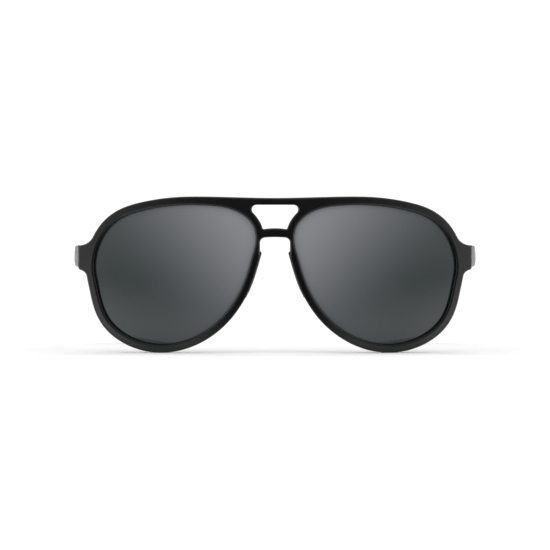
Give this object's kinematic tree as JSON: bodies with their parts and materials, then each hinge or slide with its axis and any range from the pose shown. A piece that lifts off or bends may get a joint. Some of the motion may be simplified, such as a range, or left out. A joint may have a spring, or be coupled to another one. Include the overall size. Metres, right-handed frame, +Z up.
{
  "type": "sunglasses",
  "caption": "Full-rim plastic aviator sunglasses with a double bridge, tinted wrapped lenses, metal temple plates and folding temples on barrel hinges.",
  "frame": {"origin": "middle of the footprint on the table that the open glasses stand on", "axes": "+X towards the wearer's left, +Y back towards the ears, +Z up; the lenses face -Y"},
  "size_m": [0.1456, 0.1568, 0.0564],
  "materials": {
    "frame_plastic": "satin black moulded plastic",
    "temple_plastic": "satin black moulded plastic",
    "lens_tint": "polished grey-green tinted lens",
    "pad_rubber": "matt soft pad",
    "hinge_steel": "tumbled",
    "screw_steel": "turned",
    "core_metal": "drawn wire",
    "plate_steel": "fine brushed",
    "badge_steel": "turned and polished",
    "rivet_steel": "polished heads"
  },
  "bodies": {
    "front": {"front_frame": "frame_plastic", "lens_left": "lens_tint", "lens_right": "lens_tint", "nose_pad_left": "pad_rubber", "nose_pad_right": "pad_rubber", "front_hinge_leaf_left": "hinge_steel", "front_hinge_leaf_right": "hinge_steel", "hinge_screw_left": "screw_steel", "hinge_screw_right": "screw_steel"},
    "temple_left": {"temple_arm_left": "temple_plastic", "core_wire_left": "core_metal", "temple_hinge_leaf_left": "hinge_steel", "shield_plate_left": "plate_steel", "plate_badge_left": "badge_steel", "rivet_pins_left": "rivet_steel"},
    "temple_right": {"temple_arm_right": "temple_plastic", "core_wire_right": "core_metal", "temple_hinge_leaf_right": "hinge_steel", "shield_plate_right": "plate_steel", "plate_badge_right": "badge_steel", "rivet_pins_right": "rivet_steel"}
  },
  "joints": [
    {"name": "temple_left_fold", "type": "hinge", "parent": "front", "child": "temple_left", "pos_m": [0.0656, -0.05528, 0.03461], "axis": [0, 0, 1], "range_deg": [0, 86]},
    {"name": "temple_right_fold", "type": "hinge", "parent": "front", "child": "temple_right", "pos_m": [-0.0656, -0.05528, 0.03461], "axis": [0, 0, -1], "range_deg": [0, 80]}
  ]
}
